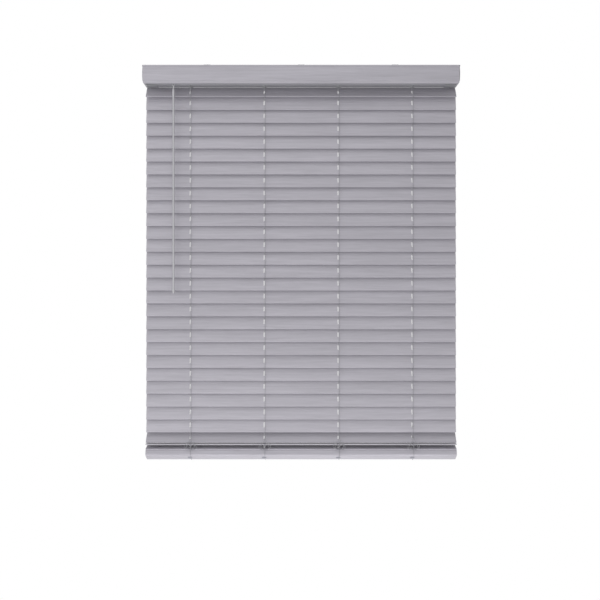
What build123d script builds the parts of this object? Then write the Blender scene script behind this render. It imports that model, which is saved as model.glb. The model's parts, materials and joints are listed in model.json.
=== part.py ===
from build123d import *
from math import cos, pi, radians, sin
import os

# A cordless two-inch faux wood blind, hung closed and a little short of its full drop.
# The origin is the centre of the four wall screws, on the wall. +X is right, +Z is up, -Y is the room.

# Slats
slat_length = 1033.0
slat_width = 50.0
slat_thickness = 3.0
slat_pitch = 43.0
full_slats = 26
closed_tilt = 74.0
slat_easing = 1.0
route_width = 5.0
route_length = 18.0

# The first slat is crowded by the headrail and the last three lie on slack ladders.
first_drop = 19.8
first_tilt = 45.0
second_drop = 35.4
lower_drops = (41.5, 20.7, 12.2)
lower_tilts = (38.0, 1.0, 11.0)
bottom_rail_drop = 24.0
lifting_slats = 7

# Bottom rail
bottom_rail_width = 50.0
bottom_rail_height = 20.0
bottom_rail_tilt = -24.0
bottom_rail_edge = 4.0
plug_bore = 4.3
plug_stem = 4.0
plug_flange = 7.4
plug_flange_height = 1.6
plug_stem_length = 8.0
rail_tuck = 0.75

# Ladders and lift cords
ladder_inset = 146.3
ladder_count = 4
cord_size = 1.2
cord_gap = 0.3
ladder_offset = 3.3
ladder_standoff = 2.4
rung_size = 0.8
rung_spread = 4.5
rung_share = 0.8
top_cord_spread = 20.9
cord_shoulder = 1.5
cord_lead_in = 2.0

# Headrail
headrail_depth = 57.0
headrail_height = 51.0
headrail_base_z = -28.0
headrail_wall = 1.0
headrail_corner = 2.0
headrail_lip = 6.0
headrail_slot_inset = 3.0
wall_gap = 1.5
end_cap_wall = 1.2
end_cap_rim = 6.0
fit = 0.3
seat_gap = 0.1

# Box brackets
bracket_inset = 2.0
bracket_width = 36.5
bracket_wall = 1.2
screw_drop = 24.0
screw_hole = 2.5
cover_margin = 6.0

# Valance
valance_overhang = 8.0
valance_stand_off = 27.5
valance_rise = 0.9
valance_height = 60.7
valance_thickness = 10.0
valance_top_bead = 4.0
valance_bead_proud = 1.4
valance_bow = 1.2
valance_foot = 8.0
valance_quirk = 1.0
valance_foot_turn = 2.0
valance_easing = 0.8
valance_corner = 5.0
return_wall_gap = 1.0
clip_inset = 201.8
clip_width = 22.0
clip_wall = 1.5
clip_hook = 4.0
clip_arm_drop = 8.0
clip_tongue = 4.0
clip_lap = 8.0

# Tilt rod, drums and cradles
rod_size = 6.35
rod_rise = 25.0
rod_clearance = 0.15
rod_tail = 21.0
rod_overhang = 18.0
drum_radius = 10.8
drum_flange = 11.8
drum_width = 8.0
drum_flange_wall = 1.2
journal_radius = 5.2
journal_length = 3.6
cradle_length = 32.0
cradle_room = 2.0
cradle_base = 2.0
cradle_wall = 2.4
cradle_foot = 44.0
cradle_shoulder = 18.0
cradle_rise = 3.0
cradle_gap = 0.4
ladder_slot_width = 4.0
ladder_slot_length = 13.0
ladder_slot_reach = 16.0
lift_slot_length = 6.0
run_slot_width = 5.0
run_slot_room = 3.0
guide_radius = 2.25
guide_length = 12.0
inner_run_rise = 9.0
outer_run_rise = 11.8

# Tilter
tilter_inset = 89.3
gear_teeth = 12
gear_module = 1.25
gear_tooth_share = 0.42
gear_tooth_slope = 0.5
gear_width = 5.0
gear_hub = 5.8
gear_hub_length = 3.0
worm_pitch_radius = 4.5
worm_core_radius = 2.9
worm_turns = 3.5
worm_crest = 0.5
worm_flank_base = 1.3
worm_length = 15.0
blank_waste = 0.2
worm_shaft_radius = 2.5
worm_tail_radius = 2.0
worm_tail_length = 3.0
worm_angle = 45.0
shaft_room = 1.5
shaft_taper = 1.5
tilter_width = 22.0
tilter_back_room = 16.0
tilter_top_room = 4.0
tilter_corner = 2.5
housing_room = 0.5
pin_radius = 0.9
pin_length = 9.0
pin_button = 2.0
pin_button_length = 1.5

# Wand
wand_stand_off = 7.5
wand_drop = 16.0
wand_length = 675.0
wand_radius = 3.65
wand_cap_length = 22.0
wand_tip_length = 14.0
wand_flat_inset = 0.25
wand_mouth_rise = 3.0
wand_mouth_wall = 1.05
wand_easing = 0.8
link_radius = 3.2
link_wire = 0.7
link_leg = 8.0
link_shank = 1.0
link_shank_length = 12.0
link_slack = 0.5

# Spring motor
motor_length = 150.0
motor_room = 3.5
motor_height = 38.0
motor_corner = 4.0
motor_rod_slot = 12.0
spool_radius = 17.0
spool_height = 3.0
cord_seat = 3.0
run_groove = 3.0
run_seal = 4.0

# Places worked out from the sizes above
slat_half = slat_thickness / 2
edge_reach = (slat_width - slat_thickness) / 2
ladder_spacing = (slat_length - 2 * ladder_inset) / (ladder_count - 1)
ladder_places = [(i - (ladder_count - 1) / 2) * ladder_spacing for i in range(ladder_count)]
headrail_back_y = -wall_gap
headrail_front_y = -wall_gap - headrail_depth
headrail_mid_y = (headrail_back_y + headrail_front_y) / 2
slat_axis_y = headrail_mid_y
headrail_top_z = headrail_base_z + headrail_height
headrail_mid_z = headrail_base_z + headrail_height / 2
headrail_floor_z = headrail_base_z + headrail_wall
bracket_outer_x = slat_length / 2 - bracket_inset
headrail_half = bracket_outer_x - bracket_wall - fit - end_cap_wall
bracket_inner_x = bracket_outer_x - bracket_width
valance_half = slat_length / 2 + valance_overhang
valance_front_y = headrail_front_y - valance_stand_off
valance_back_y = valance_front_y + valance_thickness
valance_base_z = headrail_base_z + valance_rise
valance_top_z = valance_base_z + valance_height

first_z = headrail_base_z - first_drop
second_z = first_z - second_drop
slat_places = [(first_z, first_tilt)]
slat_places += [(second_z - k * slat_pitch, closed_tilt) for k in range(full_slats)]
for drop, tilt in zip(lower_drops, lower_tilts):
    slat_places.append((slat_places[-1][0] - drop, tilt))
last_full = 1 + full_slats
first_lifting = last_full - lifting_slats + 1
bottom_rail_z = slat_places[-1][0] - bottom_rail_drop
bottom_rail_y = slat_axis_y + bottom_rail_height / 2 * sin(radians(bottom_rail_tilt))
clip_places = (clip_inset - headrail_half, 0.0, headrail_half - clip_inset)
rod_y = slat_axis_y
rod_z = headrail_floor_z + rod_rise
inner_run_z = headrail_floor_z + inner_run_rise
outer_run_z = headrail_floor_z + outer_run_rise
cradle_depth = headrail_depth - 2 * (headrail_wall + cradle_room)
motor_depth = headrail_depth - 2 * (headrail_wall + motor_room)
tilter_x = tilter_inset - headrail_half
tilter_back_y = rod_y + tilter_back_room
tilter_top_z = headrail_top_z - tilter_top_room
rod_left_x = tilter_x - rod_tail
wand_y = headrail_front_y - wand_stand_off
wand_top_z = headrail_base_z - wand_drop
wand_bottom_z = wand_top_z - wand_length


# A section across a slat: local x runs from its axis to the front edge.
def section_plane(y, z, tilt):
    a = radians(tilt)
    return Plane(origin=(0, y, z), x_dir=(0, -cos(a), -sin(a)), z_dir=(1, 0, 0))


# The middle plane of a slat: local x runs along the blind and z leaves the upper face.
def face_plane(y, z, tilt):
    a = radians(tilt)
    return Plane(origin=(0, y, z), x_dir=(1, 0, 0), z_dir=(0, -sin(a), cos(a)))


# The line of a ladder cord beside a slat's edge: side is -1 at the front and 1 at the rear.
def edge_point(z, tilt, side):
    a = radians(tilt)
    return (slat_axis_y + side * (edge_reach * cos(a) + ladder_standoff), z + side * edge_reach * sin(a))


os.makedirs("parts", exist_ok=True)

# Slats with eased edges, each with a routing hole at every ladder
for number, (z, tilt) in enumerate(slat_places, start=1):
    with BuildPart() as slat:
        with BuildSketch(section_plane(slat_axis_y, z, tilt)) as section:
            Rectangle(slat_width, slat_thickness)
            chamfer(section.vertices(), slat_easing)
        extrude(amount=slat_length / 2, both=True)
        with BuildSketch(face_plane(slat_axis_y, z, tilt)):
            with Locations(*[(x, 0) for x in ladder_places]):
                Rectangle(route_width, route_length)
        extrude(amount=slat_thickness, both=True, mode=Mode.SUBTRACT)
    slat.part.label = f"slat_{number:02d}"
    export_step(slat.part, f"parts/slat_{number:02d}.step")


# The pairs of rungs under one slat, added to the part that is being built
def add_rungs(z, tilt):
    lower_face = face_plane(slat_axis_y, z, tilt).offset(-(slat_half + cord_gap + rung_size))
    with BuildSketch(lower_face) as rung_ends:
        for x in ladder_places:
            with Locations((x - rung_spread, 0), (x + rung_spread, 0)):
                Rectangle(rung_size, rung_share * 2 * edge_reach)
    extrude(rung_ends.sketch, amount=rung_size)


# A ladder or lift cord of square section along straight runs, added to the part that is being built
def add_cord(points):
    with BuildLine() as route:
        Polyline(*points)
    with BuildSketch(Plane(origin=route.line @ 0, x_dir=(1, 0, 0), z_dir=route.line % 0)) as section:
        Rectangle(cord_size, cord_size)
    sweep(section.sketch, path=route.line, transition=Transition.RIGHT)


for number in range(first_lifting, last_full + 1):
    with BuildPart() as rungs:
        add_rungs(*slat_places[number - 1])
    rungs.part.label = f"rungs_{number:02d}"
    export_step(rungs.part, f"parts/rungs_{number:02d}.step")

second = slat_places[1]
last = slat_places[last_full - 1]
front_top = edge_point(*second, -1)
rear_top = edge_point(*second, 1)
front_bottom = edge_point(*last, -1)
rear_bottom = edge_point(*last, 1)
first_front = edge_point(*slat_places[0], -1)
first_rear = edge_point(*slat_places[0], 1)
drum_exit_z = rod_z - drum_flange - cord_size

# The heads of the ladders, from the drums to the second slat, and the rungs of the slats that stay up
with BuildPart() as upper_ladders:
    for number in range(1, first_lifting):
        add_rungs(*slat_places[number - 1])
    for x in ladder_places:
        line_x = x + ladder_offset
        for side, top, edge in ((-1, front_top, first_front), (1, rear_top, first_rear)):
            spread_y = slat_axis_y + side * top_cord_spread
            shoulder_z = min(edge[1], headrail_base_z) - cord_shoulder
            drum_y = slat_axis_y + side * (drum_radius + cord_size)
            add_cord(
                [
                    (line_x, drum_y, drum_exit_z),
                    (line_x, spread_y, headrail_base_z + cord_lead_in),
                    (line_x, spread_y, shoulder_z),
                    (line_x, top[0], top[1] + cord_gap),
                ]
            )
upper_ladders.part.label = "upper_ladders"
export_step(upper_ladders.part, "parts/upper_ladders.step")

# The straight cords of the ladders, front and rear
with BuildPart() as ladder_front_cords:
    with BuildSketch(Plane.XY.offset(front_bottom[1])):
        with Locations(*[(x + ladder_offset, front_top[0]) for x in ladder_places]):
            Rectangle(cord_size, cord_size)
    extrude(amount=front_top[1] - front_bottom[1])
ladder_front_cords.part.label = "ladder_front_cords"
export_step(ladder_front_cords.part, "parts/ladder_front_cords.step")

with BuildPart() as ladder_rear_cords:
    with BuildSketch(Plane.XY.offset(rear_bottom[1])):
        with Locations(*[(x + ladder_offset, rear_top[0]) for x in ladder_places]):
            Rectangle(cord_size, cord_size)
    extrude(amount=rear_top[1] - rear_bottom[1])
ladder_rear_cords.part.label = "ladder_rear_cords"
export_step(ladder_rear_cords.part, "parts/ladder_rear_cords.step")


# A point on the bottom rail's section, from its axis towards the front edge and out of its upper face
def rail_point(along, out):
    a = radians(bottom_rail_tilt)
    return (bottom_rail_y - along * cos(a) - out * sin(a), bottom_rail_z - along * sin(a) + out * cos(a))


# The feet of the ladders, which pass the last slats and are tucked under the bottom rail's plugs
rail_half_width = bottom_rail_width / 2
rail_half_height = bottom_rail_height / 2
cord_line = cord_gap + cord_size / 2
with BuildPart() as lower_ladders:
    for z, tilt in slat_places[last_full:]:
        add_rungs(z, tilt)
    for x in ladder_places:
        for side, end in ((-1, front_bottom), (1, rear_bottom)):
            stops = [(end[0], end[1] - cord_gap)]
            stops += [edge_point(z + slat_thickness, tilt, side) for z, tilt in slat_places[last_full:]]
            reach = -side * (rail_half_width + cord_line)
            stops.append(rail_point(reach, rail_half_height * (rail_tuck + (1 - rail_tuck) * side)))
            stops.append(rail_point(reach, -rail_half_height - cord_line))
            stops.append(rail_point(-side * (plug_flange + cord_line), -rail_half_height - cord_line))
            add_cord([(x + ladder_offset, y, z) for y, z in stops])
lower_ladders.part.label = "lower_ladders"
export_step(lower_ladders.part, "parts/lower_ladders.step")

# Lift cords: along the headrail from the motor, over a guide and down through the slats
guide_bend = guide_radius + cord_gap + cord_size / 2


# The height of a lift cord's run in the headrail, and the side of the ladder that its guide is on
def lift_run(x):
    run_z = outer_run_z if abs(x) > ladder_spacing else inner_run_z
    side = 1 if x < 0 else -1
    return run_z, side


lift_cord_foot = rail_point(0, rail_half_height)[1] - cord_seat
with BuildPart() as lift_cords:
    for x in ladder_places:
        run_z, side = lift_run(x)
        with BuildLine() as route:
            FilletPolyline(
                (-side * (motor_length / 2 - cord_seat), slat_axis_y, run_z),
                (x, slat_axis_y, run_z),
                (x, slat_axis_y, lift_cord_foot),
                radius=guide_bend,
            )
        with BuildSketch(Plane(origin=route.line @ 0, z_dir=route.line % 0)):
            Rectangle(cord_size, cord_size)
        sweep(path=route.line)
lift_cords.part.label = "lift_cords"
export_step(lift_cords.part, "parts/lift_cords.step")

# Bottom rail, with a bore at each ladder for the cords and the plug
with BuildPart() as bottom_rail:
    with BuildSketch(section_plane(bottom_rail_y, bottom_rail_z, bottom_rail_tilt)):
        RectangleRounded(bottom_rail_width, bottom_rail_height, bottom_rail_edge)
    extrude(amount=slat_length / 2, both=True)
    with BuildSketch(face_plane(bottom_rail_y, bottom_rail_z, bottom_rail_tilt)):
        with Locations(*[(x, 0) for x in ladder_places]):
            Circle(plug_bore)
    extrude(amount=bottom_rail_height, both=True, mode=Mode.SUBTRACT)
bottom_rail.part.label = "bottom_rail"
export_step(bottom_rail.part, "parts/bottom_rail.step")

with BuildPart() as rail_plugs:
    underside = face_plane(bottom_rail_y, bottom_rail_z, bottom_rail_tilt).offset(-rail_half_height)
    with BuildSketch(underside):
        with Locations(*[(x, 0) for x in ladder_places]):
            Circle(plug_flange)
    extrude(amount=-plug_flange_height)
    with BuildSketch(underside):
        with Locations(*[(x, 0) for x in ladder_places]):
            Circle(plug_stem)
    extrude(amount=plug_stem_length)
rail_plugs.part.label = "rail_plugs"
export_step(rail_plugs.part, "parts/rail_plugs.step")

# Tilter geometry: the worm lies in front of and above the gear, and its shaft runs down to the wand
gear_pitch_radius = gear_teeth * gear_module / 2
gear_tip_radius = gear_pitch_radius + gear_module
gear_root_radius = gear_pitch_radius - 1.2 * gear_module
shaft_y = -cos(radians(worm_angle))
shaft_z = -sin(radians(worm_angle))
mesh_reach = gear_pitch_radius + worm_pitch_radius
mesh_y = rod_y + shaft_z * mesh_reach
mesh_z = rod_z - shaft_y * mesh_reach
shaft_length = (wand_y - mesh_y) / shaft_y
pivot_z = mesh_z + shaft_length * shaft_z


# A plane across the worm's shaft, at a distance from the mesh towards the wand
def shaft_plane(along):
    return Plane(
        origin=(tilter_x, mesh_y + along * shaft_y, mesh_z + along * shaft_z),
        x_dir=(1, 0, 0),
        z_dir=(0, shaft_y, shaft_z),
    )


# Headrail: a steel channel, open above, slotted over each ladder and for the worm's shaft
shaft_hole = worm_shaft_radius + shaft_room
with BuildPart() as headrail:
    with BuildSketch(Plane(origin=(0, headrail_mid_y, headrail_mid_z), x_dir=(0, 1, 0), z_dir=(1, 0, 0))):
        RectangleRounded(headrail_depth, headrail_height, headrail_corner)
        RectangleRounded(
            headrail_depth - 2 * headrail_wall,
            headrail_height - 2 * headrail_wall,
            headrail_corner - headrail_wall / 2,
            mode=Mode.SUBTRACT,
        )
        with Locations((0, headrail_height / 2)):
            Rectangle(headrail_depth - 2 * headrail_lip, 4 * headrail_wall, mode=Mode.SUBTRACT)
    extrude(amount=headrail_half, both=True)
    with BuildSketch(Plane.XY.offset(headrail_base_z - headrail_wall)):
        with Locations(*[(x + ladder_offset / 2, slat_axis_y) for x in ladder_places]):
            Rectangle(cradle_length / 2, cradle_depth - 2 * headrail_slot_inset)
    extrude(amount=3 * headrail_wall, mode=Mode.SUBTRACT)
    with BuildSketch(shaft_plane(worm_length)):
        Circle(shaft_hole)
    extrude(amount=shaft_length - worm_length, mode=Mode.SUBTRACT)
headrail.part.label = "headrail"
export_step(headrail.part, "parts/headrail.step")

# End caps: a plate with a rim that plugs into the channel
with BuildPart() as headrail_end_caps:
    cap_plane = Plane(origin=(headrail_half, headrail_mid_y, headrail_mid_z), x_dir=(0, 1, 0), z_dir=(1, 0, 0))
    with BuildSketch(cap_plane):
        RectangleRounded(headrail_depth, headrail_height, headrail_corner)
    extrude(amount=end_cap_wall)
    rim_inset = 2 * (headrail_wall + fit)
    with BuildSketch(cap_plane):
        rim = Rectangle(headrail_depth - rim_inset, headrail_height - rim_inset)
        chamfer(rim.vertices(), headrail_corner)
        Rectangle(
            headrail_depth - rim_inset - 2 * end_cap_wall,
            headrail_height - rim_inset - 2 * end_cap_wall,
            mode=Mode.SUBTRACT,
        )
    extrude(amount=-end_cap_rim)
    mirror(about=Plane.YZ)
headrail_end_caps.part.label = "headrail_end_caps"
export_step(headrail_end_caps.part, "parts/headrail_end_caps.step")

# Box brackets: back, top, floor and outer end, open to the room and to the headrail
bracket_base_z = headrail_base_z - fit - bracket_wall
bracket_top_z = headrail_top_z + fit + bracket_wall
bracket_front_y = headrail_front_y - fit - bracket_wall
bracket_mid_z = (bracket_base_z + bracket_top_z) / 2
with BuildPart() as mounting_brackets:
    with BuildSketch(Plane.YZ.offset(bracket_inner_x)):
        with Locations((bracket_front_y / 2, bracket_mid_z)):
            Rectangle(-bracket_front_y, bracket_top_z - bracket_base_z)
    extrude(amount=bracket_width)
    with BuildSketch(Plane.YZ.offset(bracket_inner_x)):
        with Locations((bracket_front_y / 2 - bracket_wall, bracket_mid_z)):
            Rectangle(-bracket_front_y, bracket_top_z - bracket_base_z - 2 * bracket_wall)
    extrude(amount=bracket_width - bracket_wall, mode=Mode.SUBTRACT)
    with BuildSketch(Plane.XZ):
        with Locations(
            (bracket_inner_x + bracket_width / 2, screw_drop / 2),
            (bracket_inner_x + bracket_width / 2, -screw_drop / 2),
        ):
            Circle(screw_hole)
    extrude(amount=2 * bracket_wall, mode=Mode.SUBTRACT)
    mirror(about=Plane.YZ)
mounting_brackets.part.label = "mounting_brackets"
export_step(mounting_brackets.part, "parts/mounting_brackets.step")

# Bracket covers: a plate in the mouth of each bracket, stiffened by a pressed panel
cover_height = headrail_height - 2 * fit
cover_width = bracket_width - bracket_wall - 2 * fit
with BuildPart() as bracket_covers:
    cover_plane = Plane(
        origin=(bracket_inner_x + fit + cover_width / 2, headrail_front_y - fit, headrail_mid_z),
        x_dir=(1, 0, 0),
        z_dir=(0, -1, 0),
    )
    with BuildSketch(cover_plane):
        Rectangle(cover_width, cover_height)
    extrude(amount=bracket_wall)
    with BuildSketch(cover_plane.offset(bracket_wall)):
        RectangleRounded(cover_width - 2 * cover_margin, cover_height - 2 * cover_margin, cover_margin / 2)
    extrude(amount=bracket_wall / 2, taper=30)
    mirror(about=Plane.YZ)
bracket_covers.part.label = "bracket_covers"
export_step(bracket_covers.part, "parts/bracket_covers.step")


# The valance's moulded section: out is the distance from its flat back. A bead runs along the top, the
# face is slightly bowed, and the foot turns back below a quirk.
def valance_section():
    face_out = valance_thickness - valance_bead_proud
    foot_out = face_out - valance_quirk
    toe_out = foot_out - valance_foot_turn
    quirk_z = valance_base_z + valance_foot
    bead_z = valance_top_z - valance_top_bead
    with BuildLine() as outline:
        Polyline(
            (0, valance_base_z),
            (0, valance_top_z),
            (valance_thickness - valance_easing, valance_top_z),
            (valance_thickness, valance_top_z - valance_easing),
            (valance_thickness, bead_z),
            (face_out, bead_z - valance_bead_proud),
        )
        ThreePointArc(
            (face_out, bead_z - valance_bead_proud),
            (face_out + valance_bow, (bead_z + quirk_z) / 2),
            (face_out, quirk_z + valance_easing),
        )
        Line((face_out, quirk_z + valance_easing), (foot_out, quirk_z))
        ThreePointArc(
            (foot_out, quirk_z),
            (foot_out - valance_foot_turn / 4, valance_base_z + valance_foot / 2),
            (toe_out, valance_base_z + valance_easing),
        )
        Polyline(
            (toe_out, valance_base_z + valance_easing),
            (toe_out - valance_easing, valance_base_z),
            (0, valance_base_z),
        )
    make_face(outline.edges())


# Cuts a wedge away from the right end of a valance piece: its corners are (x, y) points seen from above
def cut_wedge(*corners):
    with BuildSketch(Plane.XY.offset(valance_base_z)) as wedge:
        Polygon(*corners, align=None)
    extrude(wedge.sketch, amount=valance_height, mode=Mode.SUBTRACT)


# The board is cut to a mitre with the returns, and the corners outside are eased
board_end = valance_half - valance_thickness
past_end = valance_half + valance_corner
corner_waste = (
    (valance_half - valance_corner, valance_front_y),
    (past_end, valance_front_y - valance_corner),
    (valance_half, valance_front_y + valance_corner),
)
with BuildPart() as valance_board:
    with BuildSketch(Plane(origin=(0, valance_back_y, 0), x_dir=(0, -1, 0), z_dir=(-1, 0, 0))):
        valance_section()
    extrude(amount=valance_half, both=True)
    cut_wedge(
        (board_end - valance_corner, valance_back_y + valance_corner),
        (past_end, valance_front_y - valance_corner),
        (past_end, valance_back_y + valance_corner),
    )
    cut_wedge(*corner_waste)
    split(bisect_by=Plane.YZ, keep=Keep.TOP)
    mirror(about=Plane.YZ)
valance_board.part.label = "valance_board"
export_step(valance_board.part, "parts/valance_board.step")

with BuildPart() as valance_returns:
    with BuildSketch(Plane(origin=(board_end, -return_wall_gap, 0), x_dir=(1, 0, 0), z_dir=(0, -1, 0))):
        valance_section()
    extrude(amount=-valance_front_y - return_wall_gap)
    cut_wedge(
        (board_end - valance_corner, valance_back_y + valance_corner),
        (board_end - valance_corner, valance_front_y - valance_corner),
        (past_end, valance_front_y - valance_corner),
    )
    cut_wedge(*corner_waste)
    mirror(about=Plane.YZ)
valance_returns.part.label = "valance_returns"
export_step(valance_returns.part, "parts/valance_returns.step")

# Valance clips: a hook over the channel's front lip, a web, and a plate that grips the valance's top
clip_back_y = headrail_front_y + headrail_lip + fit
clip_face_y = headrail_front_y - fit
clip_seat_y = valance_back_y + fit
clip_top_z = headrail_top_z + fit
with BuildPart() as valance_clips:
    clip_plane = Plane(origin=(0, 0, 0), x_dir=(0, 1, 0), z_dir=(1, 0, 0))
    arm_z = clip_top_z - clip_arm_drop
    grip_y = valance_back_y - valance_thickness / 2
    for x in clip_places:
        with BuildSketch(clip_plane.offset(x - clip_width / 2)):
            with BuildLine():
                Polyline(
                    (clip_back_y, clip_top_z - clip_hook),
                    (clip_back_y, clip_top_z),
                    (clip_face_y, clip_top_z),
                    (clip_face_y, arm_z - clip_tongue),
                    (clip_face_y - clip_wall, arm_z - clip_tongue),
                    (clip_face_y - clip_wall, arm_z),
                    (clip_seat_y + clip_wall, arm_z),
                    (clip_seat_y + clip_wall, valance_base_z + clip_lap),
                    (clip_seat_y, valance_base_z + clip_lap),
                    (clip_seat_y, valance_top_z + fit),
                    (grip_y, valance_top_z + fit),
                    (grip_y, valance_top_z + fit + clip_wall),
                    (clip_seat_y + clip_wall, valance_top_z + fit + clip_wall),
                    (clip_seat_y + clip_wall, arm_z + clip_wall),
                    (clip_face_y - clip_wall, arm_z + clip_wall),
                    (clip_face_y - clip_wall, clip_top_z + clip_wall),
                    (clip_back_y + clip_wall, clip_top_z + clip_wall),
                    (clip_back_y + clip_wall, clip_top_z - clip_hook),
                    (clip_back_y, clip_top_z - clip_hook),
                )
            make_face()
        extrude(amount=clip_width)
valance_clips.part.label = "valance_clips"
export_step(valance_clips.part, "parts/valance_clips.step")

# Tilt rod, a square bar from the tilter to the last ladder
rod_right_x = ladder_places[-1] + ladder_offset + rod_overhang
with BuildPart() as tilt_rod:
    with BuildSketch(Plane(origin=(rod_left_x, rod_y, rod_z), x_dir=(0, 1, 0), z_dir=(1, 0, 0))):
        Rectangle(rod_size, rod_size)
    extrude(amount=rod_right_x - rod_left_x)
tilt_rod.part.label = "tilt_rod"
export_step(tilt_rod.part, "parts/tilt_rod.step")

# Ladder drums: a flanged barrel on the rod, with a journal at each end
drum_end = drum_width / 2 + drum_flange_wall
with BuildPart() as ladder_drums:
    for x in ladder_places:
        rod_plane = Plane(origin=(x + ladder_offset, rod_y, rod_z), x_dir=(0, 1, 0), z_dir=(1, 0, 0))
        with BuildSketch(rod_plane):
            Circle(drum_radius - cord_size)
        extrude(amount=drum_width / 2, both=True)
        for side in (-1, 1):
            with BuildSketch(rod_plane.offset(side * drum_width / 2)):
                Circle(drum_flange)
            extrude(amount=side * drum_flange_wall)
            with BuildSketch(rod_plane.offset(side * drum_end)):
                Circle(journal_radius)
            extrude(amount=side * journal_length)
        with BuildSketch(rod_plane):
            Rectangle(rod_size + 2 * rod_clearance, rod_size + 2 * rod_clearance)
        extrude(amount=drum_end + journal_length, both=True, mode=Mode.SUBTRACT)
ladder_drums.part.label = "ladder_drums"
export_step(ladder_drums.part, "parts/ladder_drums.step")

# Ladder cradles: a base on the channel's floor, two saddles for the drum, and a guide for the lift cord
saddle_radius = journal_radius + fit
saddle_x = drum_end + cradle_gap + cradle_wall / 2
base_top_z = headrail_floor_z + seat_gap + cradle_base
run_mid_z = (outer_run_z + inner_run_z) / 2
run_slot_height = outer_run_z - inner_run_z + 2 * run_slot_room
with BuildPart() as ladder_cradles:
    for x in ladder_places:
        run_z, side = lift_run(x)
        line_x = x + ladder_offset
        with BuildSketch(Plane.XY.offset(headrail_floor_z + seat_gap)):
            with Locations((x + ladder_offset / 2, slat_axis_y)):
                Rectangle(cradle_length, cradle_depth)
            with Locations((line_x, slat_axis_y - ladder_slot_reach), (line_x, slat_axis_y + ladder_slot_reach)):
                Rectangle(ladder_slot_width, ladder_slot_length, mode=Mode.SUBTRACT)
            with Locations((x, slat_axis_y)):
                Rectangle(cord_size + 2 * cord_gap, lift_slot_length, mode=Mode.SUBTRACT)
        extrude(amount=cradle_base)
        for edge in (-1, 1):
            with BuildSketch(Plane.YZ.offset(line_x + edge * saddle_x - cradle_wall / 2)):
                with Locations((rod_y, 0)):
                    Polygon(
                        (-cradle_foot / 2, base_top_z - cradle_base / 2),
                        (cradle_foot / 2, base_top_z - cradle_base / 2),
                        (cradle_shoulder / 2, rod_z + cradle_rise),
                        (-cradle_shoulder / 2, rod_z + cradle_rise),
                        align=None,
                    )
                with Locations((rod_y, rod_z)):
                    Circle(saddle_radius, mode=Mode.SUBTRACT)
                with Locations((rod_y, rod_z + saddle_radius)):
                    Rectangle(2 * saddle_radius, 2 * saddle_radius, mode=Mode.SUBTRACT)
                with Locations((rod_y, run_mid_z)):
                    Rectangle(run_slot_width, run_slot_height, mode=Mode.SUBTRACT)
            extrude(amount=cradle_wall)
        guide_z = run_z - guide_bend
        guide_foot_z = base_top_z - cradle_base / 2
        guide_plane = Plane(
            origin=(x + side * guide_bend, slat_axis_y, guide_z), x_dir=(1, 0, 0), z_dir=(0, -1, 0)
        )
        with BuildSketch(guide_plane):
            Circle(guide_radius)
            with Locations((0, (guide_foot_z - guide_z) / 2)):
                Rectangle(2 * guide_radius, guide_z - guide_foot_z)
        extrude(amount=guide_length / 2, both=True)
ladder_cradles.part.label = "ladder_cradles"
export_step(ladder_cradles.part, "parts/ladder_cradles.step")

# Tilter gear, on the end of the rod
with BuildPart() as tilter_gear:
    gear_plane = Plane(origin=(tilter_x, rod_y, rod_z), x_dir=(0, shaft_z, -shaft_y), z_dir=(1, 0, 0))
    tooth_half = gear_tooth_share * gear_module * pi / 2
    tooth_root = tooth_half * (1 + gear_tooth_slope)
    tooth_tip = tooth_half * (1 - gear_tooth_slope)
    tooth_foot = gear_root_radius - gear_module / 2
    with BuildSketch(gear_plane):
        Circle(gear_root_radius)
        with PolarLocations(0, gear_teeth, start_angle=180 / gear_teeth):
            Polygon(
                (tooth_foot, -tooth_root),
                (gear_root_radius, -tooth_root),
                (gear_tip_radius, -tooth_tip),
                (gear_tip_radius, tooth_tip),
                (gear_root_radius, tooth_root),
                (tooth_foot, tooth_root),
                align=None,
            )
    extrude(amount=gear_width / 2, both=True)
    with BuildSketch(gear_plane):
        Circle(gear_hub)
    extrude(amount=gear_width / 2 + gear_hub_length, both=True)
    with BuildSketch(gear_plane):
        with Locations(Rotation(0, 0, worm_angle)):
            Rectangle(rod_size + 2 * rod_clearance, rod_size + 2 * rod_clearance)
    extrude(amount=gear_width / 2 + gear_hub_length, both=True, mode=Mode.SUBTRACT)
tilter_gear.part.label = "tilter_gear"
export_step(tilter_gear.part, "parts/tilter_gear.step")

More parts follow.
